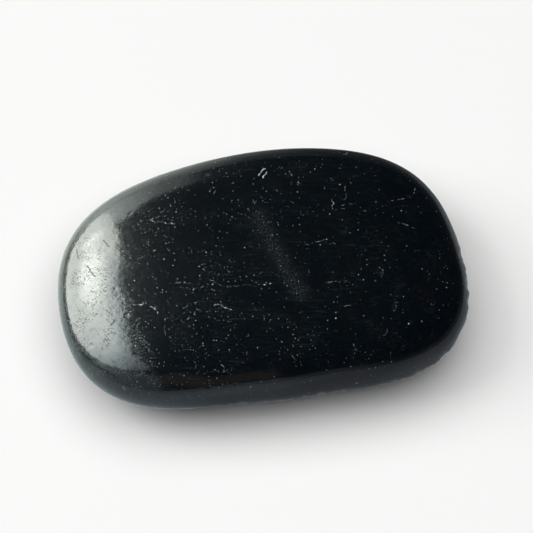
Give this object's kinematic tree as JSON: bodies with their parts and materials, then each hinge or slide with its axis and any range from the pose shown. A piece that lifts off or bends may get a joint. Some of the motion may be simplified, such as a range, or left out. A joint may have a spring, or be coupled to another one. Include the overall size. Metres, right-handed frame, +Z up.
{
  "type": "black tourmaline pebble",
  "caption": "Polished flattened pebble of black tourmaline with a rounded oblong outline and a small worn flat spot underneath that it rests on.",
  "frame": {"origin": "on the floor under the middle of the stone's box, at the height of the flat spot", "axes": "+X along the stone's length towards its squarer end, +Y across its width away from the straighter long edge, +Z up from the flat spot"},
  "size_m": [0.0398, 0.0268, 0.0118],
  "materials": {
    "black_tourmaline": "tumble polished, near black, with fine pits and faint striations"
  },
  "bodies": {
    "root": {"pebble": "black_tourmaline"}
  },
  "joints": []
}
